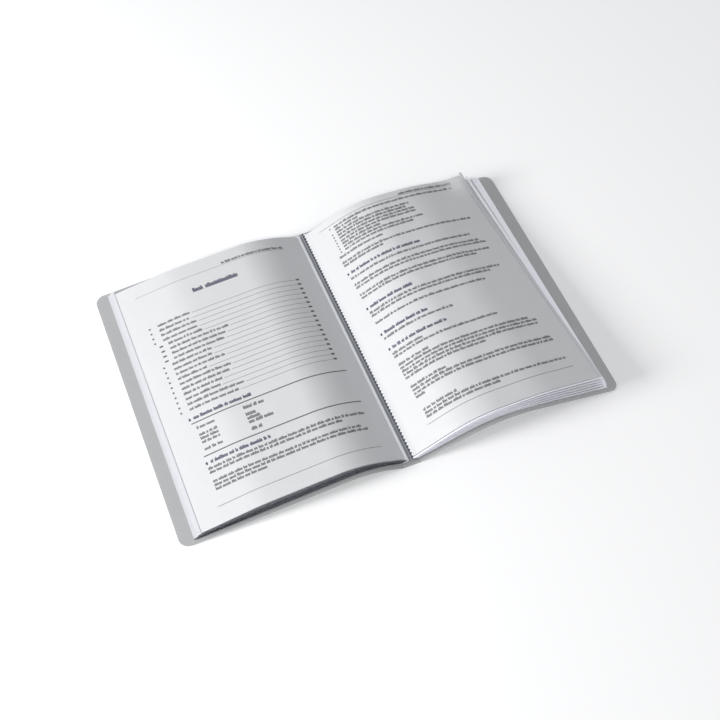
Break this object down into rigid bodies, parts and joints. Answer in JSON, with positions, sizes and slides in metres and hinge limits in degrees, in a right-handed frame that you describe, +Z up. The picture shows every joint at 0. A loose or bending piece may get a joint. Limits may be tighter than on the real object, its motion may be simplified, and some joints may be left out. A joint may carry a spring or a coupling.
{
  "type": "clear pocket display book",
  "caption": "Open display book: a creased flexible cover with clear pockets along its spine, each welded on three sides and holding a printed sheet that slides out at the top.",
  "frame": {"origin": "on the table, under the middle of the spine panel", "axes": "+X across the open book to the back cover, +Y to the open tops of the pockets, +Z up"},
  "size_m": [0.4599, 0.31, 0.0412],
  "materials": {
    "cover_plastic": "translucent grey sheet with a fine satin grain",
    "binding_plastic": "translucent pale grey, satin",
    "pocket_film": "clear glossy film",
    "weld_seam": "pressed clear seam, serrated along the spine",
    "printed_paper": "white paper printed on both sides"
  },
  "bodies": {
    "spine": {"spine_panel": "cover_plastic", "binding_strip": "binding_plastic"},
    "front_cover": {"front_cover": "cover_plastic"},
    "back_cover": {"back_cover": "cover_plastic"},
    "pocket_01": {"pocket_01_front_film": "pocket_film", "pocket_01_back_film": "pocket_film", "pocket_01_weld": "weld_seam"},
    "sheet_01": {"pocket_01_sheet": "printed_paper"},
    "pocket_02": {"pocket_02_front_film": "pocket_film", "pocket_02_back_film": "pocket_film", "pocket_02_weld": "weld_seam"},
    "sheet_02": {"pocket_02_sheet": "printed_paper"},
    "pocket_03": {"pocket_03_front_film": "pocket_film", "pocket_03_back_film": "pocket_film", "pocket_03_weld": "weld_seam"},
    "sheet_03": {"pocket_03_sheet": "printed_paper"},
    "pocket_04": {"pocket_04_front_film": "pocket_film", "pocket_04_back_film": "pocket_film", "pocket_04_weld": "weld_seam"},
    "sheet_04": {"pocket_04_sheet": "printed_paper"},
    "pocket_05": {"pocket_05_front_film": "pocket_film", "pocket_05_back_film": "pocket_film", "pocket_05_weld": "weld_seam"},
    "sheet_05": {"pocket_05_sheet": "printed_paper"},
    "pocket_06": {"pocket_06_front_film": "pocket_film", "pocket_06_back_film": "pocket_film", "pocket_06_weld": "weld_seam"},
    "sheet_06": {"pocket_06_sheet": "printed_paper"},
    "pocket_07": {"pocket_07_front_film": "pocket_film", "pocket_07_back_film": "pocket_film", "pocket_07_weld": "weld_seam"},
    "sheet_07": {"pocket_07_sheet": "printed_paper"},
    "pocket_08": {"pocket_08_front_film": "pocket_film", "pocket_08_back_film": "pocket_film", "pocket_08_weld": "weld_seam"},
    "sheet_08": {"pocket_08_sheet": "printed_paper"},
    "pocket_09": {"pocket_09_front_film": "pocket_film", "pocket_09_back_film": "pocket_film", "pocket_09_weld": "weld_seam"},
    "sheet_09": {"pocket_09_sheet": "printed_paper"},
    "pocket_10": {"pocket_10_front_film": "pocket_film", "pocket_10_back_film": "pocket_film", "pocket_10_weld": "weld_seam"},
    "sheet_10": {"pocket_10_sheet": "printed_paper"}
  },
  "joints": [
    {"name": "front_cover_turn", "type": "hinge", "parent": "spine", "child": "front_cover", "pos_m": [-0.00865, 0, 0.00015], "axis": [0, 1, 0], "range_deg": [0, 70]},
    {"name": "back_cover_turn", "type": "hinge", "parent": "spine", "child": "back_cover", "pos_m": [0.00865, 0, 0.00015], "axis": [0, -1, 0], "range_deg": [0, 55]},
    {"name": "pocket_01_turn", "type": "hinge", "parent": "spine", "child": "pocket_01", "pos_m": [-0.0064, 0, 0.0033], "axis": [0, 1, 0], "range_deg": [0, 70]},
    {"name": "sheet_01_slide", "type": "slide", "parent": "pocket_01", "child": "sheet_01", "axis": [0, 1, 0], "range_m": [0, 0.29]},
    {"name": "pocket_02_turn", "type": "hinge", "parent": "spine", "child": "pocket_02", "pos_m": [-0.0052, 0, 0.0036], "axis": [0, 1, 0], "range_deg": [0, 70]},
    {"name": "sheet_02_slide", "type": "slide", "parent": "pocket_02", "child": "sheet_02", "axis": [0, 1, 0], "range_m": [0, 0.29]},
    {"name": "pocket_03_turn", "type": "hinge", "parent": "spine", "child": "pocket_03", "pos_m": [-0.004, 0, 0.0039], "axis": [0, 1, 0], "range_deg": [0, 70]},
    {"name": "sheet_03_slide", "type": "slide", "parent": "pocket_03", "child": "sheet_03", "axis": [0, 1, 0], "range_m": [0, 0.29]},
    {"name": "pocket_04_turn", "type": "hinge", "parent": "spine", "child": "pocket_04", "pos_m": [-0.0028, 0, 0.0042], "axis": [0, 1, 0], "range_deg": [0, 70]},
    {"name": "sheet_04_slide", "type": "slide", "parent": "pocket_04", "child": "sheet_04", "axis": [0, 1, 0], "range_m": [0, 0.29]},
    {"name": "pocket_05_turn", "type": "hinge", "parent": "spine", "child": "pocket_05", "pos_m": [-0.0016, 0, 0.0045], "axis": [0, 1, 0], "range_deg": [0, 70]},
    {"name": "sheet_05_slide", "type": "slide", "parent": "pocket_05", "child": "sheet_05", "axis": [0, 1, 0], "range_m": [0, 0.29]},
    {"name": "page_turn", "type": "hinge", "parent": "pocket_07", "child": "pocket_06", "pos_m": [0.0016, 0, 0.0045], "axis": [0, 1, 0], "range_deg": [-125, 0]},
    {"name": "sheet_06_slide", "type": "slide", "parent": "pocket_06", "child": "sheet_06", "axis": [0, 1, 0], "range_m": [0, 0.29]},
    {"name": "pocket_07_turn", "type": "hinge", "parent": "spine", "child": "pocket_07", "pos_m": [0.0028, 0, 0.0042], "axis": [0, -1, 0], "range_deg": [0, 55]},
    {"name": "sheet_07_slide", "type": "slide", "parent": "pocket_07", "child": "sheet_07", "axis": [0, 1, 0], "range_m": [0, 0.29]},
    {"name": "pocket_08_turn", "type": "hinge", "parent": "spine", "child": "pocket_08", "pos_m": [0.004, 0, 0.0039], "axis": [0, -1, 0], "range_deg": [0, 55]},
    {"name": "sheet_08_slide", "type": "slide", "parent": "pocket_08", "child": "sheet_08", "axis": [0, 1, 0], "range_m": [0, 0.29]},
    {"name": "pocket_09_turn", "type": "hinge", "parent": "spine", "child": "pocket_09", "pos_m": [0.0052, 0, 0.0036], "axis": [0, -1, 0], "range_deg": [0, 55]},
    {"name": "sheet_09_slide", "type": "slide", "parent": "pocket_09", "child": "sheet_09", "axis": [0, 1, 0], "range_m": [0, 0.29]},
    {"name": "pocket_10_turn", "type": "hinge", "parent": "spine", "child": "pocket_10", "pos_m": [0.0064, 0, 0.0033], "axis": [0, -1, 0], "range_deg": [0, 55]},
    {"name": "sheet_10_slide", "type": "slide", "parent": "pocket_10", "child": "sheet_10", "axis": [0, 1, 0], "range_m": [0, 0.29]}
  ],
  "couplings": [
    {"joint": "pocket_01_turn", "follows": "front_cover_turn", "ratio": 1},
    {"joint": "pocket_02_turn", "follows": "front_cover_turn", "ratio": 1},
    {"joint": "pocket_03_turn", "follows": "front_cover_turn", "ratio": 1},
    {"joint": "pocket_04_turn", "follows": "front_cover_turn", "ratio": 1},
    {"joint": "pocket_05_turn", "follows": "front_cover_turn", "ratio": 1},
    {"joint": "pocket_07_turn", "follows": "back_cover_turn", "ratio": 1},
    {"joint": "pocket_08_turn", "follows": "back_cover_turn", "ratio": 1},
    {"joint": "pocket_09_turn", "follows": "back_cover_turn", "ratio": 1},
    {"joint": "pocket_10_turn", "follows": "back_cover_turn", "ratio": 1}
  ]
}
